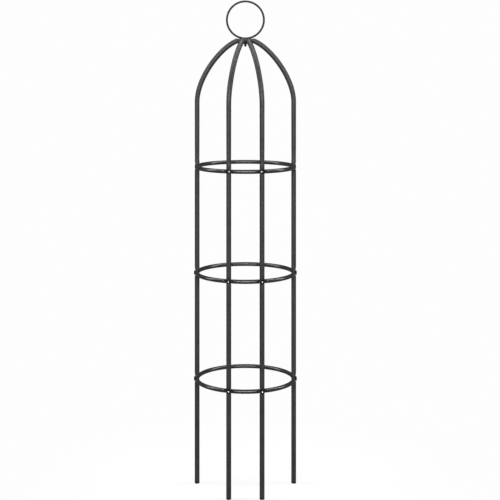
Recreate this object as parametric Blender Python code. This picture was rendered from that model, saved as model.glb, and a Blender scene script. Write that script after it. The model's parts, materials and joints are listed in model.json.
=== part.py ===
"""Garden obelisk: four tubular uprights on a circle, three hoops bolted to them, four bent
arch tubes meeting in a cast hub, and a plain ring finial on a stud.

Metres, +Z up. The origin is on the ground, at the centre of the circle that the uprights
stand on. -Y is the front.
Every upright is modelled once, in its own frame: local +X points outwards along the radius,
local +Y runs round the circle. The copies differ only by their turn about Z.
"""

from math import asin, atan2, cos, hypot, pi, radians, sin

import bmesh
import bpy

MM = 0.001

# ---- driving dimensions ----------------------------------------------------------------------
CIRCLE_R = 190.0 * MM  # through the centres of the uprights, and centreline of the hoops
# Each front upright's turn from the front, so that the four stand evenly across the width.
FRONT_SPREAD = asin(1 / 3)
TURNS = {  # direction of each upright, from +X, anticlockwise
    "left": pi,
    "front_left": 1.5 * pi - FRONT_SPREAD,
    "front_right": 1.5 * pi + FRONT_SPREAD,
    "right": 0.0,
}
HOOPS = {"low": 412.0 * MM, "middle": 828.5 * MM, "top": 1245.5 * MM}

LEG_R, LEG_WALL = 9.5 * MM, 0.5 * MM
LEG_BOTTOM = 8.0 * MM
LEG_TOP = HOOPS["top"] + 28.0 * MM  # the leg tube ends just above the top hoop's crossing

HOOP_BAR_R, HOOP_WALL = 8.0 * MM, 1.0 * MM

GAP = 0.3 * MM  # between neighbouring pieces
SLIP = 0.1 * MM  # closer: the arch tube in the leg tube, and bolts and nuts on their seats

SIDES = 12  # facets round a leg, an arch or a foot
HOOP_SIDES = 8
SMALL_SIDES = 10

# ---- crossings -------------------------------------------------------------------------------
# Tubes are pressed where a leg and a hoop cross, so that the two together are no thicker than
# one tube. Lengths along a leg are measured from the hoop's height.
DENTS = {"low": 4.2 * MM, "middle": 4.2 * MM, "top": 2.6 * MM}  # of the bolt seat, leg's outer side
SADDLE_HALF = 8.7 * MM  # half the flat on the inner side that the hoop lies in
FLAT_HALF = 10.0 * MM  # half the flat of the bolt's seat on the outer side
SEAT_HALF = 13.0 * MM  # half of all that is pressed, on both sides
# Above a seat the press runs out upwards: its depth at SEAT_HALF, and where it ends.
RUNOUT, RUNOUT_END = 1.4 * MM, 24.0 * MM
HOOP_FLAT_HALF, HOOP_PRESS_HALF = 11.0 * MM, 21.0 * MM
HOOP_STEP = radians(14)  # about the turn between the hoop's stations, away from crossings
NUT_SEAT = 4.7 * MM  # how deep the pocket for the nut is pressed into the hoop's inner side

# ---- arch ------------------------------------------------------------------------------------
ARCH_R = 8.9 * MM  # where it slides into the leg tube
ARCH_BORE_R = 7.9 * MM  # the same all along
ARCH_BOTTOM = HOOPS["top"] - 20.0 * MM
# Above the leg the coating thickens, to these radii: at one height, at the bend's start and
# from ARCH_FULL_AT of the bend on.
ARCH_SWELL_Z, ARCH_SWELL_R = 1335.0 * MM, 9.3 * MM
ARCH_START_R, ARCH_FULL_R = 9.5 * MM, 10.0 * MM
ARCH_FULL_AT = 0.25
# Centreline as (radius, height): a cubic Bezier curve from the straight upright, then a short
# straight end for the hub's stub.
ARCH_CURVE = (
    (CIRCLE_R, 1500.3 * MM),
    (CIRCLE_R, 1589.8 * MM),
    (107.8 * MM, 1704.5 * MM),
    (40.0 * MM, 1737.7 * MM),
)
ARCH_END = (29.5 * MM, 1741.6 * MM)
ARCH_STEPS = 10
TANGENT_STEP = 1e-4  # share of the curve, each way, that its direction is taken over

# ---- fasteners and feet ----------------------------------------------------------------------
BOLT_R, HOLE_R = 3.0 * MM, 3.3 * MM
DRILL_HALF = 15.0 * MM  # half the length of the rod that cuts a bolt hole
BOLT_HEAD_R = 9.2 * MM
BOLT_HEADS = {"low": 7.2 * MM, "middle": 7.2 * MM, "top": 2.4 * MM}  # heights of the heads
BOLT_DOME = 3.4 * MM  # height of the domed part, at most half the head's
BOLT_TIP = CIRCLE_R - 9.1 * MM  # just past the nut
NUT_ACROSS, NUT_H, NUT_BORE_R = 10.0 * MM, 5.0 * MM, 3.3 * MM
NUT_CORNER_R = NUT_ACROSS / 2 / cos(pi / 6)
OVERCUT = 1.0 * MM  # how far a bore's cutter stands out of the open end

FOOT_PLAY, FOOT_WALL = 0.2 * MM, 1.8 * MM  # round the stem in the tube, and the stem's wall
FOOT_FLOOR, FOOT_TOP = 4.0 * MM, 28.0 * MM

# ---- crown -----------------------------------------------------------------------------------
HUB_R, HUB_LOW, HUB_TOP = 25.5 * MM, 1729.5 * MM, 1746.0 * MM
HUB_RECESS = 2.0 * MM  # sunk in the top, round the stud
HUB_SIDES = 20
STUB_R, STUB_TIP_R = 7.3 * MM, 40.0 * MM  # thickness, and distance of the tip from the axis
STUB_START_R = HUB_R - 1.4 * MM  # just inside the rim, clear of the finial's ring in the dish

FINIAL_R, FINIAL_BAR_R = 72.8 * MM, 4.0 * MM
FINIAL_Z = 1823.2 * MM
FINIAL_STEPS, FINIAL_SIDES = 40, 8
STUD_BOTTOM = 1720.5 * MM
COLLAR_R = 5.5 * MM

WASHER_R, WASHER_LOW, WASHER_SIDES = 8.0 * MM, HUB_LOW - 1.5 * MM, 16
CAP_NUT_TOP, CAP_NUT_TIP = 1727.8 * MM, 1717.8 * MM
CAP_HEX_H = 5.5 * MM
CAP_DOME_R, CAP_DOME_Z = NUT_ACROSS / 2 - 0.3 * MM, CAP_NUT_TOP - 5.0 * MM


# ---- numbers and points ----------------------------------------------------------------------
def polar(radius, angle, height=0.0):
    return (radius * cos(angle), radius * sin(angle), height)


def ramp(distance, near, far, at_near, at_far):
    """at_near up to the distance near, at_far from far on, and straight between."""
    share = min(max((distance - near) / (far - near), 0.0), 1.0)
    return at_near + share * (at_far - at_near)


def section(radius, low, high, sides):
    """A circle's corners as (outward, sideways), the outward part kept between low and high.

    Where more than half is pressed away, the flat is as wide as the tube is there.
    """
    step = 2 * pi / sides
    slope = (1 - cos(step)) / sin(step)  # of the facet outwards of the widest corner
    share = 1 - slope * low / radius if low > 0 else 1.0
    corners = []
    for k in range(sides):
        outward, sideways = radius * cos(k * step), radius * sin(k * step)
        if outward < low:
            corners.append((low, sideways * share))
        else:
            corners.append((min(outward, high), sideways))
    return corners


def bezier(points, share):
    rest = 1 - share
    weights = (rest**3, 3 * rest**2 * share, 3 * rest * share**2, share**3)
    return tuple(sum(w * point[i] for w, point in zip(weights, points)) for i in (0, 1))


def direction(start, end):
    """Unit vector from start to end, in the plane of radius and height."""
    along_r, along_z = end[0] - start[0], end[1] - start[1]
    size = hypot(along_r, along_z)
    return along_r / size, along_z / size


# ---- meshes ----------------------------------------------------------------------------------
def mesh_of(name, verts, faces):
    mesh = bpy.data.meshes.new(name)
    mesh.from_pydata(verts, [], faces)
    mesh.validate()
    return mesh


def outwards(mesh):
    """Turns the faces of one closed surface to point out of it."""
    work = bmesh.new()
    work.from_mesh(mesh)
    bmesh.ops.recalc_face_normals(work, faces=work.faces)
    if work.calc_volume(signed=True) < 0:
        bmesh.ops.reverse_faces(work, faces=work.faces)
    work.to_mesh(mesh)
    work.free()


def grid_quad(i, k, count, sides):
    """Indices of the quad from corner k of ring i to the next corner and the next ring."""
    this_ring, next_ring = i * sides, (i + 1) % count * sides
    beside = (k + 1) % sides
    return this_ring + k, this_ring + beside, next_ring + beside, next_ring + k


def tube(name, outer, inner, looped):
    """A hollow solid through the rings of points in outer, hollowed by those in inner.

    Looped, it closes on itself.
    """
    sides, count = len(outer[0]), len(outer)
    verts = [point for ring in outer + inner for point in ring]
    half = sides * count  # index of the first inner point
    faces = []
    for i in range(count if looped else count - 1):
        for k in range(sides):
            here, beside, across, ahead = grid_quad(i, k, count, sides)
            # Both walls are split along the same diagonal, so that nested tubes stay parallel
            # where they are pressed.
            faces += [(here, beside, across), (here, across, ahead)]
            faces.append((half + across, half + beside, half + here))
            faces.append((half + ahead, half + across, half + here))
    if not looped:
        last = (count - 1) * sides
        for k in range(sides):
            after = (k + 1) % sides
            faces.append((after, k, half + k, half + after))
            faces.append((last + k, last + after, half + last + after, half + last + k))
    return mesh_of(name, verts, faces)


def turned(name, profile, sides):
    """A solid turned about Z from a profile of (radius, height).

    The profile runs from the axis round the outside and back to the axis, or is closed on
    itself off the axis.
    """
    closed = profile[0][0] > 1e-9
    verts, rings = [], []
    for radius, height in profile:
        points = 1 if radius < 1e-9 else sides
        rings.append(list(range(len(verts), len(verts) + points)))
        if points == 1:
            verts.append((0.0, 0.0, height))
        else:
            verts += [polar(radius, 2 * pi * k / sides, height) for k in range(sides)]
    faces = []
    pairs = list(zip(rings, rings[1:])) + ([(rings[-1], rings[0])] if closed else [])
    for lower, upper in pairs:
        for k in range(sides):
            after = (k + 1) % sides
            if len(lower) == 1:
                faces.append((lower[0], upper[after], upper[k]))
            elif len(upper) == 1:
                faces.append((lower[k], lower[after], upper[0]))
            else:
                faces.append((lower[k], lower[after], upper[after], upper[k]))
    mesh = mesh_of(name, verts, faces)
    outwards(mesh)
    return mesh


def rods(name, ends, radius, sides):
    """One mesh of straight rods between the pairs of points in ends."""
    work = bmesh.new()
    for start, end in ends:
        along = [e - s for s, e in zip(start, end)]
        tilt = atan2(hypot(along[0], along[1]), along[2])
        turn = atan2(along[1], along[0])
        made = bmesh.ops.create_cone(
            work,
            cap_ends=True,
            segments=sides,
            radius1=radius,
            radius2=radius,
            depth=hypot(*along),
        )
        for vert in made["verts"]:
            x, y, z = vert.co
            x, z = x * cos(tilt) + z * sin(tilt), z * cos(tilt) - x * sin(tilt)
            x, y = x * cos(turn) - y * sin(turn), x * sin(turn) + y * cos(turn)
            vert.co = [(s + e) / 2 + offset for s, e, offset in zip(start, end, (x, y, z))]
    mesh = bpy.data.meshes.new(name)
    work.to_mesh(mesh)
    work.free()
    return mesh


def upright_rod(name, low, high, radius, sides):
    return rods(name, [((0, 0, low), (0, 0, high))], radius, sides)


def object_of(name, mesh, location=(0.0, 0.0, 0.0), rotation=(0.0, 0.0, 0.0)):
    made = bpy.data.objects.new(name, mesh)
    made.location = location
    made.rotation_euler = rotation
    bpy.context.scene.collection.objects.link(made)
    return made


def combined(mesh, other, operation):
    """The mesh after an exact Boolean with the other mesh."""
    body, tool = object_of("body", mesh), object_of("tool", other)
    tool.hide_render = True
    tool.display_type = "WIRE"
    step = body.modifiers.new("step", "BOOLEAN")
    step.operation = operation
    step.solver = "EXACT"
    step.object = tool
    graph = bpy.context.evaluated_depsgraph_get()
    result = bpy.data.meshes.new_from_object(body.evaluated_get(graph))
    result.name = mesh.name
    for used in (body, tool):
        bpy.data.objects.remove(used, do_unlink=True)
    return result


def drilled(mesh, places):
    """The mesh with a radial bolt hole through the circle at each (turn, height)."""
    reach = (CIRCLE_R - DRILL_HALF, CIRCLE_R + DRILL_HALF)
    ends = [[polar(radius, turn, height) for radius in reach] for turn, height in places]
    return combined(mesh, rods("holes", ends, HOLE_R, SMALL_SIDES), "DIFFERENCE")


# ---- legs and arches -------------------------------------------------------------------------
def press(above, full, dented, low_at_flat):
    """How far in and out a tube of radius full reaches at this height above a crossing."""
    away = abs(above)
    low = ramp(away, SADDLE_HALF, SEAT_HALF, low_at_flat, -full)
    if above <= FLAT_HALF:
        return low, ramp(away, FLAT_HALF, SEAT_HALF, dented, full)
    run = full - RUNOUT
    if above < SEAT_HALF:
        return low, ramp(above, FLAT_HALF, SEAT_HALF, dented, run)
    return low, ramp(above, SEAT_HALF, RUNOUT_END, run, full)


def leg_limits(height):
    """How far in and out the leg tube's surface reaches at this height."""
    nearest = min(HOOPS, key=lambda level: abs(height - HOOPS[level]))
    return press(height - HOOPS[nearest], LEG_R, LEG_R - DENTS[nearest], GAP)


def leg_mesh():
    above = (SADDLE_HALF, FLAT_HALF, SEAT_HALF)
    offsets = [-step for step in reversed(above)] + [*above, RUNOUT_END]
    crossings = [z + offset for z in HOOPS.values() for offset in offsets]
    outer, inner = [], []
    for z in (LEG_BOTTOM, *crossings, LEG_TOP):
        low, high = leg_limits(z)
        for rings, inset in ((outer, 0.0), (inner, LEG_WALL)):
            corners = section(LEG_R - inset, low + inset, high - inset, SIDES)
            rings.append([(CIRCLE_R + outward, sideways, z) for outward, sideways in corners])
    mesh = tube("leg_tube", outer, inner, looped=False)
    outwards(mesh)
    return drilled(mesh, [(0.0, z) for z in HOOPS.values()])


def arch_path():
    """Stations of the arch tube as (centre, direction, inner limit, outer limit, own radius).

    Centre and direction are (radius, height).
    """
    pressed = GAP + LEG_WALL + SLIP
    seat = LEG_R - DENTS["top"] - LEG_WALL - SLIP
    top, up = HOOPS["top"], (0, 1)
    stations = []
    # Below the crossing the tube keeps its pressed shape, so that it slides down past the
    # leg's pressed part.
    for z in (ARCH_BOTTOM, top - FLAT_HALF):
        stations.append(((CIRCLE_R, z), up, pressed, seat, ARCH_R))
    for above in (SADDLE_HALF, FLAT_HALF, SEAT_HALF, RUNOUT_END):
        limits = press(above, ARCH_R, seat, pressed)
        stations.append(((CIRCLE_R, top + above), up, *limits, ARCH_R))
    for z, own in ((LEG_TOP, ARCH_R), (ARCH_SWELL_Z, ARCH_SWELL_R)):
        stations.append(((CIRCLE_R, z), up, -own, own, own))
    for i in range(ARCH_STEPS + 1):
        share = i / ARCH_STEPS
        before = bezier(ARCH_CURVE, share - TANGENT_STEP)
        after = bezier(ARCH_CURVE, share + TANGENT_STEP)
        own = ramp(share, 0.0, ARCH_FULL_AT, ARCH_START_R, ARCH_FULL_R)
        stations.append((bezier(ARCH_CURVE, share), direction(before, after), -own, own, own))
    heading = direction(ARCH_CURVE[-1], ARCH_END)
    stations.append((ARCH_END, heading, -ARCH_FULL_R, ARCH_FULL_R, ARCH_FULL_R))
    return stations


def arch_mesh():
    outer, inner = [], []
    for (radius, z), (along_r, along_z), low, high, own in arch_path():
        for rings, inset in ((outer, 0.0), (inner, own - ARCH_BORE_R)):
            corners = section(own - inset, low + inset, high - inset, SIDES)
            rings.append([
                (radius + outward * along_z, sideways, z - outward * along_r)
                for outward, sideways in corners
            ])
    mesh = tube("arch_tube", outer, inner, looped=False)
    outwards(mesh)
    return drilled(mesh, [(0.0, HOOPS["top"])])


def foot_mesh():
    """Moulded cup: a rounded foot below the tube's end, and a hollow stem up inside it."""
    stem = LEG_R - LEG_WALL - FOOT_PLAY
    bore = stem - FOOT_WALL
    shelf = LEG_BOTTOM - GAP
    profile = [
        (0, 0),
        (LEG_R - 2.6 * MM, 0),
        (LEG_R - 0.8 * MM, 0.9 * MM),
        (LEG_R, 2.8 * MM),
        (LEG_R, shelf),
        (stem, shelf),
        (stem, FOOT_TOP - 1.0 * MM),
        (stem - 0.6 * MM, FOOT_TOP),
        (bore, FOOT_TOP),
        (bore, FOOT_FLOOR),
        (0, FOOT_FLOOR),
    ]
    return turned("foot_cap", profile, SIDES)


# ---- hoops, bolts and nuts -------------------------------------------------------------------
def hoop_angles():
    """Directions of the hoop's stations: four at each crossing, and even steps between."""
    turns = sorted(TURNS.values())
    pressed, flat = HOOP_PRESS_HALF / CIRCLE_R, HOOP_FLAT_HALF / CIRCLE_R
    angles = []
    for here, after in zip(turns, turns[1:] + [turns[0] + 2 * pi]):
        start, end = here + pressed, after - pressed
        angles += [here - pressed, here - flat, here + flat, start]
        steps = max(1, round((end - start) / HOOP_STEP))
        angles += [start + (end - start) * i / steps for i in range(1, steps)]
    return angles


def hoop_mesh():
    """Round tube bent to the circle, pressed flat at each upright; centred on its own height."""
    full = HOOP_BAR_R
    outer, inner = [], []
    for angle in hoop_angles():
        nearest = min(abs((angle - turn + pi) % (2 * pi) - pi) for turn in TURNS.values())
        away = nearest * CIRCLE_R
        high = ramp(away, HOOP_FLAT_HALF, HOOP_PRESS_HALF, -GAP, full)
        low = ramp(away, HOOP_FLAT_HALF, HOOP_PRESS_HALF, NUT_SEAT - full, -full)
        for rings, inset in ((outer, 0.0), (inner, HOOP_WALL)):
            corners = section(full - inset, low + inset, high - inset, HOOP_SIDES)
            rings.append([polar(CIRCLE_R + outward, angle, -down) for outward, down in corners])
    mesh = tube("hoop", outer, inner, looped=True)
    return drilled(mesh, [(turn, 0) for turn in TURNS.values()])


def bolt_mesh(head, length):
    """Domed head on +Z above its seat at 0, shank below."""
    shoulder = head - min(BOLT_DOME, head / 2)
    dome = [
        (BOLT_HEAD_R * cos(radians(a)) ** 0.7, shoulder + (head - shoulder) * sin(radians(a)))
        for a in (0, 35, 60, 80)
    ]
    profile = [
        (0, -length),
        (BOLT_R - 0.6 * MM, -length),
        (BOLT_R, -length + 0.8 * MM),
        (BOLT_R, 0),
        (BOLT_HEAD_R - 0.3 * MM, 0),
        (BOLT_HEAD_R, 0.6 * MM),
        *dome,
        (0, head),
    ]
    return turned("bolt", profile, SMALL_SIDES)


def nut_mesh():
    """Hexagon with its lower face at 0."""
    body = upright_rod("nut", 0, NUT_H, NUT_CORNER_R, 6)
    bore = upright_rod("nut_bore", -OVERCUT, NUT_H + OVERCUT, NUT_BORE_R, SMALL_SIDES)
    return combined(body, bore, "DIFFERENCE")


# ---- hub and finial --------------------------------------------------------------------------
def hub_mesh():
    """Dished casting round the stud, with a stub for each arch tube."""
    profile = [
        (HOLE_R, HUB_LOW),
        (HUB_R - 5 * MM, HUB_LOW),
        (HUB_R - 1 * MM, HUB_LOW + 3 * MM),
        (HUB_R, HUB_LOW + 6 * MM),
        (HUB_R, HUB_TOP + 1.6 * MM),
        (HUB_R - 1.5 * MM, HUB_TOP + 3.2 * MM),
        (11 * MM, HUB_TOP),
        (6 * MM, HUB_TOP),
        (6 * MM, HUB_TOP - HUB_RECESS),
        (HOLE_R, HUB_TOP - HUB_RECESS),
    ]
    mesh = turned("crown_hub", profile, HUB_SIDES)
    # The stubs lie along the straight ends of the arch tubes.
    (curve_r, curve_z), (end_r, end_z) = ARCH_CURVE[-1], ARCH_END
    slope = (curve_z - end_z) / (curve_r - end_r)
    for turn in TURNS.values():
        ends = [
            polar(radius, turn, end_z + slope * (radius - end_r))
            for radius in (STUB_START_R, STUB_TIP_R)
        ]
        mesh = combined(mesh, rods("stub", [ends], STUB_R, SMALL_SIDES), "UNION")
    return mesh


def finial_mesh():
    """Upright ring in the plane of the left and right uprights, on a collar and a stud."""
    verts, faces = [], []
    for i in range(FINIAL_STEPS):
        around = 2 * pi * i / FINIAL_STEPS
        for k in range(FINIAL_SIDES):
            across = 2 * pi * k / FINIAL_SIDES
            radius = FINIAL_R + FINIAL_BAR_R * cos(across)
            x, z = radius * cos(around), FINIAL_Z + radius * sin(around)
            verts.append((x, FINIAL_BAR_R * sin(across), z))
            faces.append(grid_quad(i, k, FINIAL_STEPS, FINIAL_SIDES))
    ring = mesh_of("finial", verts, faces)
    outwards(ring)
    collar_low = HUB_TOP - HUB_RECESS + GAP
    profile = [
        (0, STUD_BOTTOM),
        (BOLT_R - 0.5 * MM, STUD_BOTTOM),
        (BOLT_R, STUD_BOTTOM + 0.8 * MM),
        (BOLT_R, collar_low),
        (COLLAR_R, collar_low),
        (COLLAR_R, HUB_TOP + 1.0 * MM),
        (4.0 * MM, HUB_TOP + 2.6 * MM),
        (0, HUB_TOP + 3.4 * MM),
    ]
    return combined(ring, turned("stud", profile, SMALL_SIDES), "UNION")


def washer_mesh():
    high = HUB_LOW - GAP
    profile = [(HOLE_R, WASHER_LOW), (WASHER_R, WASHER_LOW), (WASHER_R, high), (HOLE_R, high)]
    return turned("washer", profile, WASHER_SIDES)


def cap_nut_mesh():
    """Hexagon with a domed blind end, hanging below the washer, its bore open at the top."""
    body = upright_rod("cap_nut", CAP_NUT_TOP - CAP_HEX_H, CAP_NUT_TOP, NUT_CORNER_R, 6)
    depth = CAP_DOME_Z - CAP_NUT_TIP
    overlap = CAP_DOME_Z + 1 * MM  # the dome's root, inside the hexagon
    dome = [
        (CAP_DOME_R * cos(radians(a)), CAP_DOME_Z - depth * sin(radians(a)))
        for a in (65, 40, 15, 0)
    ]
    profile = [(0, CAP_NUT_TIP), *dome, (CAP_DOME_R, overlap), (0, overlap)]
    body = combined(body, turned("dome", profile, SMALL_SIDES), "UNION")
    bore_low = STUD_BOTTOM - 0.5 * MM
    bore = upright_rod("bore", bore_low, CAP_NUT_TOP + OVERCUT, NUT_BORE_R, SMALL_SIDES)
    return combined(body, bore, "DIFFERENCE")


# ---- materials -------------------------------------------------------------------------------
def material(name, colour, roughness, metallic=0.0):
    made = bpy.data.materials.new(name)
    made.use_nodes = True
    shader = made.node_tree.nodes["Principled BSDF"]
    shader.inputs["Base Color"].default_value = (*colour, 1.0)
    shader.inputs["Roughness"].default_value = roughness
    shader.inputs["Metallic"].default_value = metallic
    made.diffuse_color = (*colour, 1.0)
    return made


# ---- assembly --------------------------------------------------------------------------------
def place(root, name, mesh, finish, location=(0.0, 0.0, 0.0), rotation=(0.0, 0.0, 0.0)):
    made = object_of(name, mesh, location, rotation)
    if not mesh.materials:  # a shared mesh is finished once
        mesh.materials.append(finish)
        mesh.shade_smooth()
        mesh.set_sharp_from_angle(angle=radians(38))
    made.parent = root


def add_uprights(root):
    leg_coat = material("leg_coat", colour=(0.030, 0.030, 0.031), roughness=0.42)
    arch_coat = material("arch_coat", colour=(0.031, 0.031, 0.032), roughness=0.42)
    foot_plastic = material("foot_plastic", colour=(0.020, 0.020, 0.020), roughness=0.5)
    leg, arch, foot = leg_mesh(), arch_mesh(), foot_mesh()
    for side, turn in TURNS.items():
        rotation = (0, 0, turn)
        place(root, f"{side}_leg_tube", leg, leg_coat, rotation=rotation)
        place(root, f"{side}_arch_tube", arch, arch_coat, rotation=rotation)
        place(root, f"{side}_foot_cap", foot, foot_plastic, polar(CIRCLE_R, turn), rotation)


def add_hoops(root, nut_finish):
    hoop_coat = material("hoop_coat", colour=(0.032, 0.032, 0.033), roughness=0.42)
    bolt_finish = material("bolt_finish", colour=(0.012, 0.012, 0.012), roughness=0.18)
    hoop, nut = hoop_mesh(), nut_mesh()
    # A hoop is straight between the ends of its flat, so the nut's seat is that chord.
    nut_at = (CIRCLE_R - HOOP_BAR_R + NUT_SEAT) * cos(HOOP_FLAT_HALF / CIRCLE_R) - SLIP
    for level, z in HOOPS.items():
        place(root, f"{level}_hoop", hoop, hoop_coat, (0, 0, z))
        bolt_at = CIRCLE_R + LEG_R - DENTS[level] + SLIP
        bolt = bolt_mesh(BOLT_HEADS[level], bolt_at - BOLT_TIP)
        # Local +Z of a bolt points outwards, and of a nut inwards.
        for part, mesh, finish, radius, tilt in (
            ("bolt", bolt, bolt_finish, bolt_at, pi / 2),
            ("nut", nut, nut_finish, nut_at, -pi / 2),
        ):
            for side, turn in TURNS.items():
                name, location = f"{level}_{side}_{part}", polar(radius, turn, z)
                place(root, name, mesh, finish, location, (0, tilt, turn))


def add_crown(root, nut_finish):
    hub_coat = material("hub_coat", colour=(0.028, 0.028, 0.029), roughness=0.48)
    finial_coat = material("finial_coat", colour=(0.028, 0.028, 0.029), roughness=0.42)
    place(root, "crown_hub", hub_mesh(), hub_coat)
    place(root, "finial_ring", finial_mesh(), finial_coat)
    place(root, "finial_washer", washer_mesh(), nut_finish)
    place(root, "finial_cap_nut", cap_nut_mesh(), nut_finish)


def build():
    for old in list(bpy.data.objects):
        bpy.data.objects.remove(old, do_unlink=True)
    root = object_of("garden_obelisk", None)
    nut_finish = material(
        "nut_finish", colour=(0.018, 0.018, 0.018), roughness=0.35, metallic=0.6
    )
    add_uprights(root)
    add_hoops(root, nut_finish)
    add_crown(root, nut_finish)


build()
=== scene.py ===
import json
from math import asin, atan2, cos, degrees, hypot, pi, radians, sin, sqrt

import bmesh
import bpy
from mathutils import Euler, Matrix, Vector

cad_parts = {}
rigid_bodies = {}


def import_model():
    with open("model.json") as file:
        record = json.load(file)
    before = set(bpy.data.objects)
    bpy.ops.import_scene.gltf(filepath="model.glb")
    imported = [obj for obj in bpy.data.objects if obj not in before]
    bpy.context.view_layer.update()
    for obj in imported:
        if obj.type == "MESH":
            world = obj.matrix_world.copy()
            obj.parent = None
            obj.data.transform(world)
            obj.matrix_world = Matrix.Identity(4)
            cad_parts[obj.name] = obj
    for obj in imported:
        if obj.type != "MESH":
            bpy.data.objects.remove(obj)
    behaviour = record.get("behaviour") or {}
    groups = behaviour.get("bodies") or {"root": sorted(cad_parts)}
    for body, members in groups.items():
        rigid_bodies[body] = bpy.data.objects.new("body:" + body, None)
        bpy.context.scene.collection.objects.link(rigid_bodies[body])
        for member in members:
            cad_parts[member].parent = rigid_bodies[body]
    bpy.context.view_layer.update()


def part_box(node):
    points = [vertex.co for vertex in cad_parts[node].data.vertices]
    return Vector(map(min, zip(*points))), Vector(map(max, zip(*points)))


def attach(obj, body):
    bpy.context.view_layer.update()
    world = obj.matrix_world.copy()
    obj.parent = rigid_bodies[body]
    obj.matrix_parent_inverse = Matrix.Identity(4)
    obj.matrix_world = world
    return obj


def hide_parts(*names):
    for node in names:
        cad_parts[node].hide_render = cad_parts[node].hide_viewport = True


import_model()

MM = 0.001

# ---- sizes, read off the CAD frame where it gives them ---------------------------------------------
CIRCLE_R = 190.0 * MM
SPREAD = asin(1 / 3)
TURNS = {"left": pi, "front_left": 1.5 * pi - SPREAD, "front_right": 1.5 * pi + SPREAD, "right": 0.0}
SIDE_ORDER = list(TURNS)
LEVELS = {}
for level in ("low", "middle", "top"):
    lo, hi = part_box(f"{level}_hoop")
    LEVELS[level] = (lo[2] + hi[2]) / 2
lo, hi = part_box("right_leg_tube")
LEG_R, LEG_LOW, LEG_TOP = (hi[1] - lo[1]) / 2, lo[2], hi[2]
lo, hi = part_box("right_arch_tube")
ARCH_FULL_R, ARCH_LOW = (hi[1] - lo[1]) / 2, lo[2]
lo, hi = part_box("low_hoop")
HOOP_R = (hi[2] - lo[2]) / 2

LEG_WALL, HOOP_WALL = 0.5 * MM, 1.0 * MM
ARCH_R, ARCH_BORE_R = 8.9 * MM, 7.9 * MM  # where the arch slides into the leg
ARCH_SWELL, ARCH_START_R = (1335 * MM, 9.3 * MM), 9.5 * MM
GAP, SLIP = 0.3 * MM, 0.1 * MM
DENTS = {"low": 4.2 * MM, "middle": 4.2 * MM, "top": 2.6 * MM}
SADDLE, FLAT, SEAT = 8.7 * MM, 10.0 * MM, 13.0 * MM
RUNOUT, RUNOUT_END = 1.4 * MM, 24.0 * MM
HOOP_FLAT, HOOP_PRESS = 11.0 * MM, 21.0 * MM
NUT_SEAT = 4.7 * MM
HEAD_R, BOLT_TIP = 9.2 * MM, CIRCLE_R - 9.1 * MM
HEADS = {"low": 7.2 * MM, "middle": 7.2 * MM, "top": 2.4 * MM}
CURVE = ((CIRCLE_R, 1500.3 * MM), (CIRCLE_R, 1589.8 * MM), (107.8 * MM, 1704.5 * MM), (40 * MM, 1737.7 * MM))
ARCH_END = (29.5 * MM, 1741.6 * MM)
HUB_R, HUB_LOW, HUB_TOP = 25.5 * MM, 1729.5 * MM, 1746.0 * MM


# ---- materials --------------------------------------------------------------------------------------
def nodes_of(name):
    made = bpy.data.materials.new(name)
    made.use_nodes = True
    tree = made.node_tree
    return made, tree, tree.nodes["Principled BSDF"]


def noise(tree, where, scale, detail=3.0, rough=0.5):
    n = tree.nodes.new("ShaderNodeTexNoise")
    n.inputs["Scale"].default_value = scale
    n.inputs["Detail"].default_value = detail
    n.inputs["Roughness"].default_value = rough
    tree.links.new(where, n.inputs["Vector"])
    return n.outputs["Fac"]


def ranged(tree, value, low, high, to_low, to_high, smooth=False):
    n = tree.nodes.new("ShaderNodeMapRange")
    if smooth:
        n.interpolation_type = "SMOOTHSTEP"
    for key, v in (("From Min", low), ("From Max", high), ("To Min", to_low), ("To Max", to_high)):
        n.inputs[key].default_value = v
    tree.links.new(value, n.inputs["Value"])
    return n.outputs["Result"]


def blended(tree, share, first, second):
    n = tree.nodes.new("ShaderNodeMix")
    n.data_type = "RGBA"
    n.inputs[6].default_value = (*first, 1)
    n.inputs[7].default_value = (*second, 1)
    tree.links.new(share, n.inputs[0])
    return n.outputs[2]


def maths(tree, kind, a, b=None):
    n = tree.nodes.new("ShaderNodeMath")
    n.operation = kind
    for i, v in enumerate((a, b)):
        if v is None:
            continue
        if isinstance(v, (int, float)):
            n.inputs[i].default_value = v
        else:
            tree.links.new(v, n.inputs[i])
    return n.outputs[0]


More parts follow.
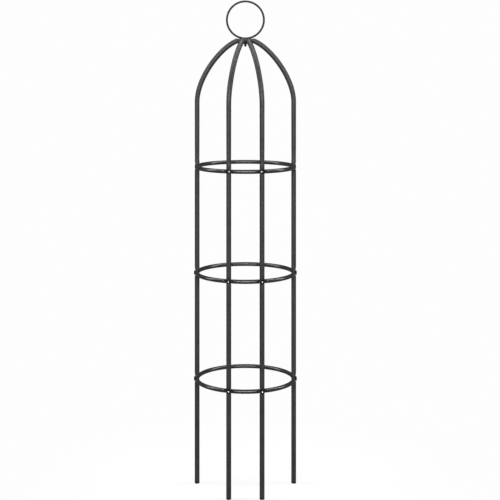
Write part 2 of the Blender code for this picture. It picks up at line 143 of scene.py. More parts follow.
def coat(name, dark, light, rough=(0.36, 0.46), peel=0.10, speck=0.5, sheen=0.25):
    """Powder coat: a fine orange peel, a finer grit in it, and slow drift in shade and gloss."""
    made, tree, shader = nodes_of(name)
    where = tree.nodes.new("ShaderNodeTexCoord").outputs["Object"]
    drift = noise(tree, where, 14.0, 3.0)
    grain = noise(tree, where, 1500.0, 2.0)
    orange = noise(tree, where, 620.0, 2.0, 0.4)
    cloud = noise(tree, where, 90.0, 4.0)
    shade = maths(tree, "ADD", maths(tree, "MULTIPLY", drift, 0.6), maths(tree, "MULTIPLY", cloud, 0.4))
    base = blended(tree, ranged(tree, shade, 0.35, 0.65, 0.0, 1.0), dark, light)
    flecks = ranged(tree, grain, 0.60, 0.74, 0.0, speck, smooth=True)
    n = tree.nodes.new("ShaderNodeMix")
    n.data_type = "RGBA"
    tree.links.new(flecks, n.inputs[0])
    tree.links.new(base, n.inputs[6])
    n.inputs[7].default_value = (*[c * 2.0 for c in light], 1)
    tree.links.new(n.outputs[2], shader.inputs["Base Color"])
    gloss = ranged(tree, maths(tree, "ADD", cloud, maths(tree, "MULTIPLY", grain, 0.3)), 0.45, 0.85, *rough)
    tree.links.new(gloss, shader.inputs["Roughness"])
    shader.inputs["Specular IOR Level"].default_value = sheen
    height = maths(tree, "ADD", orange, maths(tree, "MULTIPLY", grain, 0.35))
    bump = tree.nodes.new("ShaderNodeBump")
    bump.inputs["Strength"].default_value = peel
    bump.inputs["Distance"].default_value = 0.0006
    tree.links.new(height, bump.inputs["Height"])
    tree.links.new(bump.outputs["Normal"], shader.inputs["Normal"])
    return made


def gloss_black(name):
    """Gloss-black head of a bolt: clear lacquer over a slightly wavy black, with fine handling marks."""
    made, tree, shader = nodes_of(name)
    where = tree.nodes.new("ShaderNodeTexCoord").outputs["Object"]
    wave = noise(tree, where, 260.0, 2.0)
    marks = noise(tree, where, 2600.0, 1.0)
    tone = blended(tree, ranged(tree, wave, 0.3, 0.7, 0.0, 1.0), (0.006, 0.006, 0.006), (0.012, 0.012, 0.013))
    tree.links.new(tone, shader.inputs["Base Color"])
    tree.links.new(ranged(tree, marks, 0.45, 0.75, 0.14, 0.24), shader.inputs["Roughness"])
    shader.inputs["Specular IOR Level"].default_value = 0.5
    shader.inputs["Coat Weight"].default_value = 0.8
    shader.inputs["Coat Roughness"].default_value = 0.10
    bump = tree.nodes.new("ShaderNodeBump")
    bump.inputs["Strength"].default_value = 0.05
    bump.inputs["Distance"].default_value = 0.0004
    tree.links.new(wave, bump.inputs["Height"])
    tree.links.new(bump.outputs["Normal"], shader.inputs["Normal"])
    return made


def black_steel(name):
    """Blackened steel of the nuts and washer: machining streaks, and bare metal showing on the crests."""
    made, tree, shader = nodes_of(name)
    where = tree.nodes.new("ShaderNodeTexCoord").outputs["Object"]
    stretch = tree.nodes.new("ShaderNodeMapping")
    stretch.inputs["Scale"].default_value = (1.0, 1.0, 14.0)
    tree.links.new(where, stretch.inputs["Vector"])
    streaks = noise(tree, stretch.outputs["Vector"], 420.0, 3.0)
    patches = noise(tree, where, 240.0, 4.0)
    tone = blended(tree, ranged(tree, patches, 0.35, 0.7, 0.0, 1.0), (0.012, 0.012, 0.013), (0.040, 0.039, 0.037))
    tree.links.new(tone, shader.inputs["Base Color"])
    tree.links.new(ranged(tree, streaks, 0.3, 0.7, 0.30, 0.52), shader.inputs["Roughness"])
    tree.links.new(ranged(tree, patches, 0.3, 0.7, 0.25, 0.8), shader.inputs["Metallic"])
    bump = tree.nodes.new("ShaderNodeBump")
    bump.inputs["Strength"].default_value = 0.12
    bump.inputs["Distance"].default_value = 0.0003
    tree.links.new(streaks, bump.inputs["Height"])
    tree.links.new(bump.outputs["Normal"], shader.inputs["Normal"])
    return made


def moulded(name):
    """Moulded plastic: a spark-eroded grain with a slow drift in shade."""
    made, tree, shader = nodes_of(name)
    where = tree.nodes.new("ShaderNodeTexCoord").outputs["Object"]
    cells = tree.nodes.new("ShaderNodeTexVoronoi")
    cells.inputs["Scale"].default_value = 1800.0
    tree.links.new(where, cells.inputs["Vector"])
    drift = noise(tree, where, 120.0, 3.0)
    tone = blended(tree, ranged(tree, drift, 0.3, 0.7, 0.0, 1.0), (0.005, 0.005, 0.006), (0.011, 0.011, 0.012))
    tree.links.new(tone, shader.inputs["Base Color"])
    tree.links.new(ranged(tree, cells.outputs["Distance"], 0.0, 0.8, 0.46, 0.64), shader.inputs["Roughness"])
    shader.inputs["Specular IOR Level"].default_value = 0.16
    bump = tree.nodes.new("ShaderNodeBump")
    bump.inputs["Strength"].default_value = 0.18
    bump.inputs["Distance"].default_value = 0.0003
    tree.links.new(cells.outputs["Distance"], bump.inputs["Height"])
    tree.links.new(bump.outputs["Normal"], shader.inputs["Normal"])
    return made


LEG_COAT = coat("leg_coat", (0.019, 0.019, 0.020), (0.027, 0.027, 0.029), rough=(0.30, 0.38), sheen=0.22)
ARCH_COAT = coat("arch_coat", (0.018, 0.018, 0.019), (0.026, 0.026, 0.028), rough=(0.34, 0.42), sheen=0.15)
# Painted shade: the hoop copy of the powder coat has a darker base than the leg copy, so the hoops read darker under
# the same lights.
HOOP_COAT = coat("hoop_coat", (0.013, 0.013, 0.014), (0.020, 0.020, 0.022), rough=(0.19, 0.26), peel=0.05, sheen=0.38)
HUB_COAT = coat("hub_coat", (0.018, 0.018, 0.019), (0.026, 0.026, 0.028), rough=(0.42, 0.54), peel=0.22)
# Painted shade: the finial copy has the same darker base as the hoop copy, so the thin ring reads dark; it is also
# rougher and duller.
FINIAL_COAT = coat("finial_coat", (0.013, 0.013, 0.014), (0.020, 0.020, 0.022), rough=(0.44, 0.54), sheen=0.12)
BOLT_GLOSS = gloss_black("bolt_finish")
NUT_STEEL = black_steel("nut_finish")
FOOT_PLASTIC = moulded("foot_plastic")


# ---- mesh helpers -----------------------------------------------------------------------------------
def mesh_of(name, verts, faces):
    mesh = bpy.data.meshes.new(name)
    mesh.from_pydata([tuple(v) for v in verts], [], faces)
    mesh.validate()
    return mesh


def outwards(mesh):
    work = bmesh.new()
    work.from_mesh(mesh)
    bmesh.ops.recalc_face_normals(work, faces=work.faces)
    if work.calc_volume(signed=True) < 0:
        bmesh.ops.reverse_faces(work, faces=work.faces)
    work.to_mesh(mesh)
    work.free()
    return mesh


def smoothstep(x):
    x = min(max(x, 0.0), 1.0)
    return x * x * (3 - 2 * x)


def press_low(u, low, soft):
    """u, kept above low by a rounded corner."""
    d = u - low
    return low + 0.5 * (d + sqrt(d * d + soft * soft))


def section(radius, low, high, sides, soft=0.35 * MM):
    corners = []
    for k in range(sides):
        a = 2 * pi * k / sides
        u, t = radius * cos(a), radius * sin(a)
        if low > -radius + 1e-6:
            u = press_low(u, low, soft)
        if high < radius - 1e-6:
            u = -press_low(-u, -high, soft)
        corners.append((u, t))
    return corners


def tube(name, outer, inner, looped=False):
    sides, count = len(outer[0]), len(outer)
    verts = [p for ring in outer for p in ring] + [p for ring in inner for p in ring]
    half = sides * count
    faces = []
    for i in range(count if looped else count - 1):
        j = (i + 1) % count
        for k in range(sides):
            m = (k + 1) % sides
            a, b, c, d = i * sides + k, i * sides + m, j * sides + m, j * sides + k
            faces.append((a, b, c, d))
            faces.append((half + d, half + c, half + b, half + a))
    if not looped:
        last = (count - 1) * sides
        for k in range(sides):
            m = (k + 1) % sides
            faces.append((m, k, half + k, half + m))
            faces.append((last + k, last + m, half + last + m, half + last + k))
    return mesh_of(name, verts, faces)


def turned(name, profile, sides):
    closed = profile[0][0] > 1e-9
    verts, rings = [], []
    for radius, height in profile:
        if radius < 1e-9:
            rings.append([len(verts)])
            verts.append((0.0, 0.0, height))
        else:
            rings.append(list(range(len(verts), len(verts) + sides)))
            verts += [(radius * cos(2 * pi * k / sides), radius * sin(2 * pi * k / sides), height) for k in range(sides)]
    faces = []
    for lower, upper in list(zip(rings, rings[1:])) + ([(rings[-1], rings[0])] if closed else []):
        for k in range(sides):
            m = (k + 1) % sides
            if len(lower) == 1:
                faces.append((lower[0], upper[m], upper[k]))
            elif len(upper) == 1:
                faces.append((lower[k], lower[m], upper[0]))
            else:
                faces.append((lower[k], lower[m], upper[m], upper[k]))
    return outwards(mesh_of(name, verts, faces))


def rounded(profile, radius, steps=3, keep=()):
    """A turned profile with its corners cut to arcs, apart from those on the axis and those in keep."""
    out = []
    n = len(profile)
    closed = profile[0][0] > 1e-9
    for i, p in enumerate(profile):
        if i in keep or (not closed and i in (0, n - 1)) or p[0] < 1e-9:
            out.append(p)
            continue
        a, b = Vector(profile[i - 1]), Vector(profile[(i + 1) % n])
        c = Vector(p)
        r = min(radius, (a - c).length * 0.45, (b - c).length * 0.45)
        s, e = c + (a - c).normalized() * r, c + (b - c).normalized() * r
        for k in range(steps + 1):
            t = k / steps
            q = s * (1 - t) ** 2 + c * 2 * t * (1 - t) + e * t * t
            out.append((q.x, q.y))
    return out


def rod(name, start, end, radius, sides):
    start, end = Vector(start), Vector(end)
    work = bmesh.new()
    made = bmesh.ops.create_cone(
        work, cap_ends=True, segments=sides, radius1=radius, radius2=radius, depth=(end - start).length
    )
    turn = (end - start).to_track_quat("Z", "Y").to_matrix().to_4x4()
    bmesh.ops.transform(work, matrix=Matrix.Translation((start + end) / 2) @ turn, verts=made["verts"])
    mesh = bpy.data.meshes.new(name)
    work.to_mesh(mesh)
    work.free()
    return mesh


def joined(name, meshes):
    work = bmesh.new()
    for m in meshes:
        work.from_mesh(m)
    mesh = bpy.data.meshes.new(name)
    work.to_mesh(mesh)
    work.free()
    return mesh


def evaluated(mesh, setup):
    """The mesh after the modifiers that setup puts on an object holding it."""
    holder = bpy.data.objects.new("holder", mesh)
    bpy.context.scene.collection.objects.link(holder)
    helpers = setup(holder) or []
    graph = bpy.context.evaluated_depsgraph_get()
    result = bpy.data.meshes.new_from_object(holder.evaluated_get(graph))
    for used in [holder, *helpers]:
        bpy.data.objects.remove(used, do_unlink=True)
    return result


def tidied(mesh):
    """Corners that an exact cut leaves on top of each other are merged."""
    work = bmesh.new()
    work.from_mesh(mesh)
    bmesh.ops.remove_doubles(work, verts=work.verts, dist=0.002 * MM)
    bmesh.ops.dissolve_degenerate(work, edges=work.edges, dist=0.001 * MM)
    work.to_mesh(mesh)
    work.free()
    return mesh


def combined(mesh, other, operation):
    def setup(holder):
        tool = bpy.data.objects.new("tool", other)
        bpy.context.scene.collection.objects.link(tool)
        step = holder.modifiers.new("step", "BOOLEAN")
        step.operation, step.solver, step.object = operation, "EXACT", tool
        return [tool]

    return tidied(evaluated(mesh, setup))


# ---- pieces -----------------------------------------------------------------------------------------
SIDES = 40


def press(above, full, dented, low_at_flat):
    """How far in and out a leg or arch of this outer radius reaches at this height above a crossing."""
    away = abs(above)
    low = low_at_flat + (-full - low_at_flat) * smoothstep((away - SADDLE) / (SEAT - SADDLE))
    free = smoothstep((away - FLAT) / (SEAT - FLAT))
    if above <= FLAT:
        return low, dented + (full - dented) * free
    run = full - RUNOUT
    if above < SEAT:
        return low, dented + (run - dented) * free
    return low, run + RUNOUT * smoothstep((above - SEAT) / (RUNOUT_END - SEAT))


PRESS_STEPS = [
    s * MM
    for s in (-14, -13, -12.5, -12, -11.5, -11, -10.5, -10, -9.5, -9.1, -8.7, -5, 0, 5, 8.7, 9.1, 9.5, 10, 10.5, 11, 11.5, 12, 12.5, 13, 14, 16, 18, 20, 22, 24)
]


def leg_limits(z):
    nearest = min(LEVELS, key=lambda level: abs(z - LEVELS[level]))
    return press(z - LEVELS[nearest], LEG_R, LEG_R - DENTS[nearest], GAP)


def leg_mesh():
    heights = [LEG_LOW, LEG_LOW + 0.4 * MM]
    for at in LEVELS.values():
        heights += [at + away for away in PRESS_STEPS]
    heights += [LEG_TOP - 0.4 * MM, LEG_TOP]
    outer, inner = [], []
    for z in heights:
        low, high = leg_limits(z)
        ease = 0.12 * MM if z in (heights[0], heights[-1]) else 0.0
        outer.append([(CIRCLE_R + u, t, z) for u, t in section(LEG_R - ease, low, high - ease, SIDES)])
        inner.append(
            [(CIRCLE_R + u, t, z) for u, t in section(LEG_R - LEG_WALL, low + LEG_WALL, high - LEG_WALL, SIDES)]
        )
    mesh = outwards(tube("leg", outer, inner))
    cutters = [rod("hole", (CIRCLE_R - 15 * MM, 0, z), (CIRCLE_R + 15 * MM, 0, z), 3.3 * MM, 24) for z in LEVELS.values()]
    return combined(mesh, joined("holes", cutters), "DIFFERENCE")


def bezier(t):
    w = ((1 - t) ** 3, 3 * (1 - t) ** 2 * t, 3 * (1 - t) * t**2, t**3)
    return tuple(sum(a * p[i] for a, p in zip(w, CURVE)) for i in (0, 1))


def arch_mesh():
    top = LEVELS["top"]
    pressed = GAP + LEG_WALL + SLIP
    seat = LEG_R - DENTS["top"] - LEG_WALL - SLIP
    stations = [(CIRCLE_R, ARCH_LOW + a, 0, 1, pressed, seat, ARCH_R) for a in (0.0, 0.4 * MM)]
    for above in PRESS_STEPS:
        if above >= -FLAT:
            stations.append((CIRCLE_R, top + above, 0, 1, *press(above, ARCH_R, seat, pressed), ARCH_R))
    stations.append((CIRCLE_R, LEG_TOP, 0, 1, -ARCH_R, ARCH_R, ARCH_R))
    (z1, r1), (z2, r2) = ARCH_SWELL, (CURVE[0][1], ARCH_START_R)
    for start, end, own0, own1 in ((LEG_TOP, z1, ARCH_R, r1), (z1, z2, r1, r2)):
        for i in range(1, 7 if end < z2 else 6):
            own = own0 + (own1 - own0) * smoothstep(i / 6)
            stations.append((CIRCLE_R, start + (end - start) * i / 6, 0, 1, -own, own, own))
    for i in range(49):
        t = i / 48
        here, before, after = bezier(t), bezier(t - 1e-4), bezier(t + 1e-4)
        dr, dz = after[0] - before[0], after[1] - before[1]
        size = hypot(dr, dz)
        own = ARCH_START_R + (ARCH_FULL_R - ARCH_START_R) * smoothstep(t / 0.25)
        stations.append((*here, dr / size, dz / size, -own, own, own))
    (r1, z1), (r0, z0) = CURVE[-1], ARCH_END
    size = hypot(r0 - r1, z0 - z1)
    own = ARCH_FULL_R
    for share in (0.5, 0.96, 1.0):
        stations.append(
            (r1 + (r0 - r1) * share, z1 + (z0 - z1) * share, (r0 - r1) / size, (z0 - z1) / size, -own, own, own)
        )
    outer, inner = [], []
    for i, (r, z, dr, dz, low, high, own) in enumerate(stations):
        ease = 0.25 * MM if i == len(stations) - 1 else 0.0
        wall = own - ARCH_BORE_R
        outer.append([(r + u * dz, t, z - u * dr) for u, t in section(own - ease, low, high, SIDES)])
        inner.append([(r + u * dz, t, z - u * dr) for u, t in section(ARCH_BORE_R, low + wall, high - wall, SIDES)])
    mesh = outwards(tube("arch", outer, inner))
    return combined(mesh, rod("hole", (CIRCLE_R - 15 * MM, 0, top), (CIRCLE_R + 15 * MM, 0, top), 3.3 * MM, 24), "DIFFERENCE")


def hoop_mesh():
    """The hoop about the origin, with the weld of its closing seam at the back."""
    press, flat = HOOP_PRESS / CIRCLE_R, HOOP_FLAT / CIRCLE_R
    turns = sorted(TURNS.values())
    angles = []
    for here, after in zip(turns, turns[1:] + [turns[0] + 2 * pi]):
        for mm in (-23, -21, -19, -17.5, -16, -14.5, -13, -11, 0, 11, 13, 14.5, 16, 17.5, 19, 21, 23):
            angles.append(here + mm * MM / CIRCLE_R)
        start, end = here + 23 * MM / CIRCLE_R, after - 23 * MM / CIRCLE_R
        steps = max(2, round((end - start) / radians(2.5)))
        angles += [start + (end - start) * i / steps for i in range(1, steps)]
    seam = radians(68)
    angles = [a for a in angles if abs((a - seam + pi) % (2 * pi) - pi) > radians(2.0)]
    angles += [seam + d * MM / CIRCLE_R for d in (-4, -2.6, -2.0, -1.4, -0.8, 0, 0.8, 1.4, 2.0, 2.6, 4)]
    angles = sorted(a % (2 * pi) for a in angles)
    sides = 32
    outer, inner = [], []
    for angle in angles:
        away = min(abs((angle - t + pi) % (2 * pi) - pi) for t in TURNS.values()) * CIRCLE_R
        share = 1 - smoothstep((away - HOOP_FLAT) / (HOOP_PRESS - HOOP_FLAT + 2 * MM))
        # The pressed flat is straight, as the chord across it.
        chord = CIRCLE_R * (cos(flat) / cos(min(away, HOOP_FLAT) / CIRCLE_R) - 1) if away <= HOOP_FLAT + 1e-6 else 0.0
        high = HOOP_R - (HOOP_R + GAP) * share
        low = -HOOP_R + NUT_SEAT * share
        off = (angle - seam + pi) % (2 * pi) - pi
        off *= CIRCLE_R / MM
        ring_o, ring_i = [], []
        for k, (u, w) in enumerate(section(HOOP_R, low, high, sides)):
            swell = 1.0
            if abs(off) < 2.7:
                ripple = 0.85 + 0.15 * sin(6 * 2 * pi * k / sides)
                swell = 1 + 0.055 * ripple * (0.5 + 0.5 * cos(pi * off / 2.7))
            r = CIRCLE_R + u * swell + chord
            ring_o.append((r * cos(angle), r * sin(angle), -w * swell))
        for u, w in section(HOOP_R - HOOP_WALL, low + HOOP_WALL, high - HOOP_WALL, sides, 0.2 * MM):
            r = CIRCLE_R + u + chord
            ring_i.append((r * cos(angle), r * sin(angle), -w))
        outer.append(ring_o)
        inner.append(ring_i)
    mesh = tube("hoop", outer, inner, looped=True)
    cutters = [
        rod(
            "hole",
            ((CIRCLE_R - 15 * MM) * cos(a), (CIRCLE_R - 15 * MM) * sin(a), 0),
            ((CIRCLE_R + 15 * MM) * cos(a), (CIRCLE_R + 15 * MM) * sin(a), 0),
            3.3 * MM,
            24,
        )
        for a in TURNS.values()
    ]
    return combined(mesh, joined("holes", cutters), "DIFFERENCE")


def threaded(name, low, high, major, pitch, sides, smooth_to, head):
    """A shank from low to high along Z, threaded up to smooth_to, with the turned profile head closing its top."""
    minor = major - 0.55 * pitch
    verts, rings = [], []

    def ring(z, radius_at):
        rings.append(list(range(len(verts), len(verts) + sides)))
        for k in range(sides):
            r = radius_at(k)
            verts.append((r * cos(2 * pi * k / sides), r * sin(2 * pi * k / sides), z))

    rings.append([0])
    verts.append((0, 0, low))
    ring(low, lambda k: minor - 0.25 * MM)
    per_pitch = 8
    steps = int((smooth_to - low) / pitch * per_pitch)
    for i in range(1, steps + 1):
        z = low + pitch * i / per_pitch
        fade = min(1.0, i / per_pitch, (steps - i) / per_pitch)

        def radius_at(k, i=i, fade=fade):
            phase = (i / per_pitch - k / sides) % 1.0
            crest = 1 - abs(2 * phase - 1)
            crest = min(max((crest - 0.12) / 0.76, 0), 1)
            base = minor if i <= steps - per_pitch else minor + (major - minor) * (1 - (steps - i) / per_pitch)
            return base + (major - base) * crest * fade

        ring(z, radius_at)
    for radius, z in head:
        if radius < 1e-9:
            rings.append([len(verts)])
            verts.append((0, 0, z))
        else:
            ring(z, lambda k, radius=radius: radius)
    faces = []
    for lower, upper in zip(rings, rings[1:]):
        for k in range(sides):
            m = (k + 1) % sides
            if len(lower) == 1:
                faces.append((lower[0], upper[m], upper[k]))
            elif len(upper) == 1:
                faces.append((lower[k], lower[m], upper[0]))
            else:
                faces.append((lower[k], lower[m], upper[m], upper[k]))
    return outwards(mesh_of(name, verts, faces))


def bolt_mesh(height, length):
    """Domed head with a rolled rim, above its seat at 0, and a threaded shank below."""
    tall = height > 4 * MM
    shoulder = height - min(3.4 * MM, height / 2)
    head = [
        (3 * MM, -5.0 * MM),
        (3 * MM, -0.25 * MM),
        (3.3 * MM, 0),
        (HEAD_R - 0.5 * MM, 0),
        (HEAD_R - 0.15 * MM, 0.12 * MM),
        (HEAD_R, 0.4 * MM),
        (HEAD_R, 0.85 * MM),
        (HEAD_R - 0.1 * MM, 1.05 * MM),
    ]
    if tall:
        head += [
            (HEAD_R - 0.3 * MM, 1.15 * MM),
            (HEAD_R - 0.3 * MM, 1.35 * MM),
            (HEAD_R - 0.08 * MM, 1.6 * MM),
            (HEAD_R - 0.05 * MM, 2.6 * MM),
        ]
    body = HEAD_R - (0.05 if tall else 0.2) * MM
    for a in range(0, 90, 6):
        x = radians(a)
        head.append((body * cos(x) ** 0.7, shoulder + (height - shoulder) * sin(x)))
    head.append((0, height))
    return threaded("bolt", -length, height, 3 * MM, 1.0 * MM, 40, -5.2 * MM, head)


def nut_mesh():
    across, height = 10 * MM, 5 * MM
    corner = across / 2 / cos(pi / 6)
    body = rod("nut", (0, 0, 0), (0, 0, height), corner, 6)
    shape = turned(
        "shape",
        [(0, -MM * 0), (4.9 * MM, 0), (corner + 0.1 * MM, 0.62 * MM), (corner + 0.1 * MM, height - 0.62 * MM), (4.9 * MM, height), (0, height)],
        48,
    )
    body = combined(body, shape, "INTERSECT")
    bore = turned(
        "bore",
        [(0, -MM), (3.9 * MM, -MM), (3.9 * MM, 0), (3.25 * MM, 0.6 * MM), (3.25 * MM, height - 0.6 * MM), (3.9 * MM, height), (3.9 * MM, height + MM), (0, height + MM)],
        32,
    )
    return combined(body, bore, "DIFFERENCE")


def foot_mesh():
    stem = LEG_R - LEG_WALL - 0.2 * MM
    bore = stem - 1.8 * MM
    flange = LEG_LOW - GAP
    profile = [
        (0, 0.0),
        (4.2 * MM, 0.0),
        (4.5 * MM, 0.25 * MM),
        (5.1 * MM, 0.25 * MM),
        (5.4 * MM, 0.0),
        (LEG_R - 2.6 * MM, 0.0),
    ]
    for a in range(10, 91, 10):
        x = radians(a)
        profile.append((LEG_R - 2.6 * MM + 2.6 * MM * sin(x), 2.8 * MM - 2.8 * MM * cos(x)))
    profile += [
        (LEG_R, 4.6 * MM),
        (LEG_R - 0.22 * MM, 4.85 * MM),
        (LEG_R - 0.22 * MM, 5.25 * MM),
        (LEG_R, 5.5 * MM),
        (LEG_R, flange - 0.4 * MM),
        (LEG_R - 0.12 * MM, flange - 0.1 * MM),
        (LEG_R - 0.4 * MM, flange),
        (stem, flange),
    ]
    for i in range(4):
        z = flange + (3 + 4 * i) * MM
        profile += [(stem - 0.35 * MM, z), (stem, z + 0.5 * MM), (stem, z + 1.2 * MM), (stem - 0.35 * MM, z + 2.6 * MM)]
    profile += [(stem - 0.5 * MM, 27 * MM), (stem - 1.1 * MM, 28 * MM), (bore, 28 * MM), (bore, 4 * MM), (0, 4 * MM)]
    return turned("foot", profile, 56)


def hub_mesh():
    profile = [
        (3.3 * MM, HUB_LOW),
        (HUB_R - 5 * MM, HUB_LOW),
        (HUB_R - 1 * MM, HUB_LOW + 3 * MM),
        (HUB_R, HUB_LOW + 6 * MM),
        (HUB_R, HUB_TOP + 1.6 * MM),
        (HUB_R - 1.5 * MM, HUB_TOP + 3.2 * MM),
        (11 * MM, HUB_TOP),
        (6 * MM, HUB_TOP),
        (6 * MM, HUB_TOP - 2 * MM),
        (3.3 * MM, HUB_TOP - 2 * MM),
    ]
    mesh = turned("hub", rounded(profile, 0.7 * MM, 3), 72)
    (r1, z1), (r0, z0) = CURVE[-1], ARCH_END
    slope = (z1 - z0) / (r1 - r0)
    for turn in TURNS.values():
        ends = [(r * cos(turn), r * sin(turn), z0 + slope * (r - r0)) for r in (HUB_R - 1.4 * MM, 40 * MM)]
        mesh = combined(mesh, rod("stub", *ends, 7.3 * MM, 40), "UNION")
    return mesh


def finial_mesh():
    ring_r, bar_r, z0 = 72.8 * MM, 4.0 * MM, 1823.2 * MM
    around, across = 144, 20
    verts, faces = [], []
    for i in range(around):
        a = 2 * pi * i / around
        for k in range(across):
            b = 2 * pi * k / across
            r = ring_r + bar_r * cos(b)
            verts.append((r * cos(a), bar_r * sin(b), z0 + r * sin(a)))
    for i in range(around):
        j = (i + 1) % around
        for k in range(across):
            m = (k + 1) % across
            faces.append((i * across + k, i * across + m, j * across + m, j * across + k))
    ring = outwards(mesh_of("finial", verts, faces))
    stud = threaded(
        "stud",
        1720.5 * MM,
        0,
        3 * MM,
        1.0 * MM,
        32,
        1733.0 * MM,
        [
            (3 * MM, 1733.2 * MM),
            (3 * MM, HUB_TOP - 1.7 * MM),
            (5.3 * MM, HUB_TOP - 1.7 * MM),
            (5.5 * MM, HUB_TOP - 1.5 * MM),
            (5.5 * MM, HUB_TOP + 0.8 * MM),
            (5.2 * MM, HUB_TOP + 1.5 * MM),
            (4.5 * MM, HUB_TOP + 2.3 * MM),
            (3.2 * MM, HUB_TOP + 3.1 * MM),
            (0, HUB_TOP + 3.4 * MM),
        ],
    )
    return combined(ring, stud, "UNION")


def washer_mesh():
    profile = [
        (3.3 * MM, HUB_LOW - 1.5 * MM),
        (8 * MM, HUB_LOW - 1.5 * MM),
        (8 * MM, HUB_LOW - 0.3 * MM),
        (3.3 * MM, HUB_LOW - 0.3 * MM),
    ]
    return turned("washer", rounded(profile, 0.25 * MM, 2), 56)


def cap_nut_mesh():
    top, tip = 1727.8 * MM, 1717.8 * MM
    corner = 10 * MM / 2 / cos(pi / 6)
    body = rod("cap", (0, 0, top - 5.5 * MM), (0, 0, top), corner, 6)
    shape = turned(
        "shape",
        [(0, top - 5.5 * MM), (4.9 * MM, top - 5.5 * MM), (corner + 0.1 * MM, top - 4.9 * MM), (corner + 0.1 * MM, top - 0.6 * MM), (4.9 * MM, top), (0, top)],
        48,
    )
    body = combined(body, shape, "INTERSECT")
    dome_r, dome_z = 4.7 * MM, top - 5.0 * MM
    profile = [(0, tip)]
    for a in range(80, -1, -10):
        profile.append((dome_r * cos(radians(a)), dome_z - (dome_z - tip) * sin(radians(a))))
    profile += [(dome_r, dome_z + MM), (0, dome_z + MM)]
    body = combined(body, turned("dome", profile, 48), "UNION")
    return combined(body, rod("bore", (0, 0, 1720.0 * MM), (0, 0, top + MM), 3.3 * MM, 32), "DIFFERENCE")


def finished(mesh, material, sharp=35):
    mesh.materials.clear()
    mesh.materials.append(material)
    mesh.shade_smooth()
    mesh.set_sharp_from_angle(angle=radians(sharp))
    return mesh


def place(name, node, mesh, location=(0, 0, 0), rotation=(0, 0, 0)):
    """One piece standing for one CAD node. Its place is put into its own copy of the mesh."""
    own = mesh.copy()
    own.name = name
    own.transform(Matrix.Translation(location) @ Euler(rotation).to_matrix().to_4x4())
    made = bpy.data.objects.new(name, own)
    bpy.context.scene.collection.objects.link(made)
    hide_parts(node)
    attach(made, "root")
    return made


leg = finished(leg_mesh(), LEG_COAT)
arch = finished(arch_mesh(), ARCH_COAT)
foot = finished(foot_mesh(), FOOT_PLASTIC)
hoop = finished(hoop_mesh(), HOOP_COAT)
nut = finished(nut_mesh(), NUT_STEEL, 25)

for side, turn in TURNS.items():
    place(f"{side}_leg", f"{side}_leg_tube", leg, rotation=(0, 0, turn))
    place(f"{side}_arch", f"{side}_arch_tube", arch, rotation=(0, 0, turn))
    at = (CIRCLE_R * cos(turn), CIRCLE_R * sin(turn), 0)
    place(f"{side}_foot", f"{side}_foot_cap", foot, at, (0, 0, turn))

nut_at = (CIRCLE_R - HOOP_R + NUT_SEAT) * cos(HOOP_FLAT / CIRCLE_R) - SLIP
for n, (level, z) in enumerate(LEVELS.items()):
    place(f"{level}_ring", f"{level}_hoop", hoop, (0, 0, z))
    bolt_at = CIRCLE_R + LEG_R - DENTS[level] + SLIP
    bolt = finished(bolt_mesh(HEADS[level], bolt_at - BOLT_TIP), BOLT_GLOSS)
    for m, (side, turn) in enumerate(TURNS.items()):
        # No two bolts or nuts stop at the same turn when they are tightened.
        spin = radians((37 * n + 61 * m) % 60)
        at = (bolt_at * cos(turn), bolt_at * sin(turn), z)
        facing = Matrix.Rotation(turn, 4, "Z") @ Matrix.Rotation(pi / 2, 4, "Y") @ Matrix.Rotation(spin, 4, "Z")
        place(f"{level}_{side}_screw", f"{level}_{side}_bolt", bolt, at, facing.to_euler())
        at = (nut_at * cos(turn), nut_at * sin(turn), z)
        facing = Matrix.Rotation(turn, 4, "Z") @ Matrix.Rotation(-pi / 2, 4, "Y") @ Matrix.Rotation(spin, 4, "Z")
        place(f"{level}_{side}_lock", f"{level}_{side}_nut", nut, at, facing.to_euler())

place("hub", "crown_hub", finished(hub_mesh(), HUB_COAT, 30))
place("finial", "finial_ring", finished(finial_mesh(), FINIAL_COAT, 40))
place("hub_washer", "finial_washer", finished(washer_mesh(), NUT_STEEL))
place("hub_cap_nut", "finial_cap_nut", finished(cap_nut_mesh(), NUT_STEEL, 25))


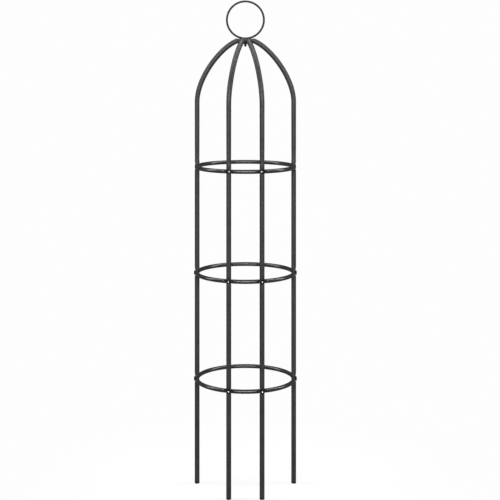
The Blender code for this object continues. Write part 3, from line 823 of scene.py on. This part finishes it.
# ---- floor, light and camera ------------------------------------------------------------------------
def floor():
    """Pale floor, lit and shaded round the object and plain pale beyond it, so that no horizon shows."""
    work = bmesh.new()
    bmesh.ops.create_grid(work, x_segments=2, y_segments=2, size=60.0)
    mesh = bpy.data.meshes.new("studio_floor")
    work.to_mesh(mesh)
    work.free()
    made = bpy.data.objects.new("studio_floor", mesh)
    bpy.context.scene.collection.objects.link(made)
    made.location.z = -0.0004
    mat = bpy.data.materials.new("pale_floor")
    mat.use_nodes = True
    tree = mat.node_tree
    tree.nodes.clear()
    out = tree.nodes.new("ShaderNodeOutputMaterial")
    plain = tree.nodes.new("ShaderNodeEmission")
    plain.inputs["Strength"].default_value = PALE
    shaded = tree.nodes.new("ShaderNodeBsdfDiffuse")
    shaded.inputs["Color"].default_value = (FLOOR_SHADE, FLOOR_SHADE, FLOOR_SHADE, 1)
    near = tree.nodes.new("ShaderNodeMixShader")
    where = tree.nodes.new("ShaderNodeTexCoord").outputs["Object"]
    reach = tree.nodes.new("ShaderNodeVectorMath")
    reach.operation = "LENGTH"
    tree.links.new(where, reach.inputs[0])
    share = ranged(tree, reach.outputs["Value"], 0.25, 0.9, 0.20, 0.0, smooth=True)
    tree.links.new(share, near.inputs[0])
    tree.links.new(plain.outputs[0], near.inputs[1])
    tree.links.new(shaded.outputs[0], near.inputs[2])
    unseen = tree.nodes.new("ShaderNodeEmission")
    unseen.inputs["Strength"].default_value = FLOOR_GLOW
    path = tree.nodes.new("ShaderNodeLightPath")
    mix = tree.nodes.new("ShaderNodeMixShader")
    tree.links.new(path.outputs["Is Camera Ray"], mix.inputs[0])
    tree.links.new(unseen.outputs[0], mix.inputs[1])
    tree.links.new(near.outputs[0], mix.inputs[2])
    tree.links.new(mix.outputs[0], out.inputs["Surface"])
    mesh.materials.append(mat)
    return made


def studio():
    world = bpy.data.worlds.new("studio")
    bpy.context.scene.world = world
    world.use_nodes = True
    tree = world.node_tree
    tree.nodes.clear()
    out = tree.nodes.new("ShaderNodeOutputWorld")
    seen = tree.nodes.new("ShaderNodeBackground")
    seen.inputs["Color"].default_value = (1, 1, 1, 1)
    seen.inputs["Strength"].default_value = PALE
    lit = tree.nodes.new("ShaderNodeBackground")
    lit.inputs["Strength"].default_value = WALL_GLOW
    path = tree.nodes.new("ShaderNodeLightPath")
    mix = tree.nodes.new("ShaderNodeMixShader")
    tree.links.new(path.outputs["Is Camera Ray"], mix.inputs[0])
    tree.links.new(lit.outputs[0], mix.inputs[1])
    tree.links.new(seen.outputs[0], mix.inputs[2])
    tree.links.new(mix.outputs[0], out.inputs["Surface"])


def gathered(name, chosen):
    """A group for a light to fall on. It isn't linked into the scene."""
    group = bpy.data.collections.new(name)
    for obj in chosen:
        group.objects.link(obj)
    return group


def area(name, at, aim, size, watts, falls_on=None):
    data = bpy.data.lights.new(name, "AREA")
    data.shape, data.size, data.size_y, data.energy = "RECTANGLE", size[0], size[1], watts
    made = bpy.data.objects.new(name, data)
    bpy.context.scene.collection.objects.link(made)
    made.location = at
    made.rotation_euler = (Vector(aim) - Vector(at)).to_track_quat("-Z", "Y").to_euler()
    if falls_on:
        made.light_linking.receiver_collection = falls_on
    return made


PALE = 0.985
FLOOR_SHADE = 0.62
FLOOR_GLOW = 0.16
WALL_GLOW = 0.08
ground = floor()
studio()
# The glossy bolt heads are flagged off the large lights. Each one in front takes a small glint from its own side.
heads = [obj for obj in bpy.data.objects if obj.name.endswith("_screw")]
others = [obj for obj in bpy.data.objects if obj.type == "MESH" and obj not in heads and not obj.hide_render]
on_others = gathered("on_the_rest", others)
area("front_soft", (0.0, -7.0, 3.0), (0, 0, 1.0), (6.5, 2.2), 1000, on_others)
area("overhead", (0.0, 0.4, 5.0), (0, 0, 0.6), (5.0, 4.0), 60)
for way in (-1, 1):
    area(f"side_strip_{way}", (3.6 * way, 0.0, 3.6), (0, 0, 0.8), (1.2, 6.0), 240, on_others)
crown = gathered("on_the_crown", [obj for obj in others if obj.name.endswith("_arch") or obj.name == "hub"])
area("crown_line", (0.0, 0.2, 5.0), (0, 0, 1.6), (0.7, 4.5), 130, crown)
GLINTS = (
    ("low", (0.55, -1.25, 0.06), (0.42, 0.10), 8.5),
    ("middle", (1.30, -2.90, 0.17), (1.10, 0.34), 46),
    ("top", (1.30, -2.90, 0.95), (1.10, 0.34), 30),
)
for level, (out, near, z), size, watts in GLINTS:
    for side, way in (("front_left", -1), ("front_right", 1)):
        facing = gathered(f"on_{level}_{side}_head", [obj for obj in heads if obj.name.startswith(f"{level}_{side}_")])
        area(f"glint_{level}_{side}", (out * way, near, z), (0, 0, LEVELS[level]), size, watts, facing)

camera_data = bpy.data.cameras.new("photo_view")
camera_data.lens, camera_data.sensor_width = 94.2, 36.0
camera = bpy.data.objects.new("photo_view", camera_data)
bpy.context.scene.collection.objects.link(camera)
CAMERA_AT = (0.0, -5.15, 1.7795)
camera.location = CAMERA_AT
camera.rotation_euler = (pi / 2, 0, 0)
camera_data.clip_start, camera_data.clip_end = 0.05, 100.0
bpy.context.scene.camera = camera


def shifted(field, amount):
    """The lens shift of the photo's view, which falls to none when the camera is moved to look from elsewhere."""
    driver = camera_data.driver_add(field).driver
    driver.type = "SCRIPTED"
    for axis in "XYZ":
        v = driver.variables.new()
        v.name, v.type = axis.lower(), "TRANSFORMS"
        v.targets[0].id = camera
        v.targets[0].transform_type = f"LOC_{axis}"
        v.targets[0].transform_space = "WORLD_SPACE"
    x, y, z = CAMERA_AT
    driver.expression = f"{amount} if abs(x - {x}) + abs(y + {-y}) + abs(z - {z}) < 0.001 else 0.0"


shifted("shift_x", 0.0092)
shifted("shift_y", -0.438)
bpy.context.scene.view_settings.view_transform = "Standard"

bpy.context.view_layer.update()
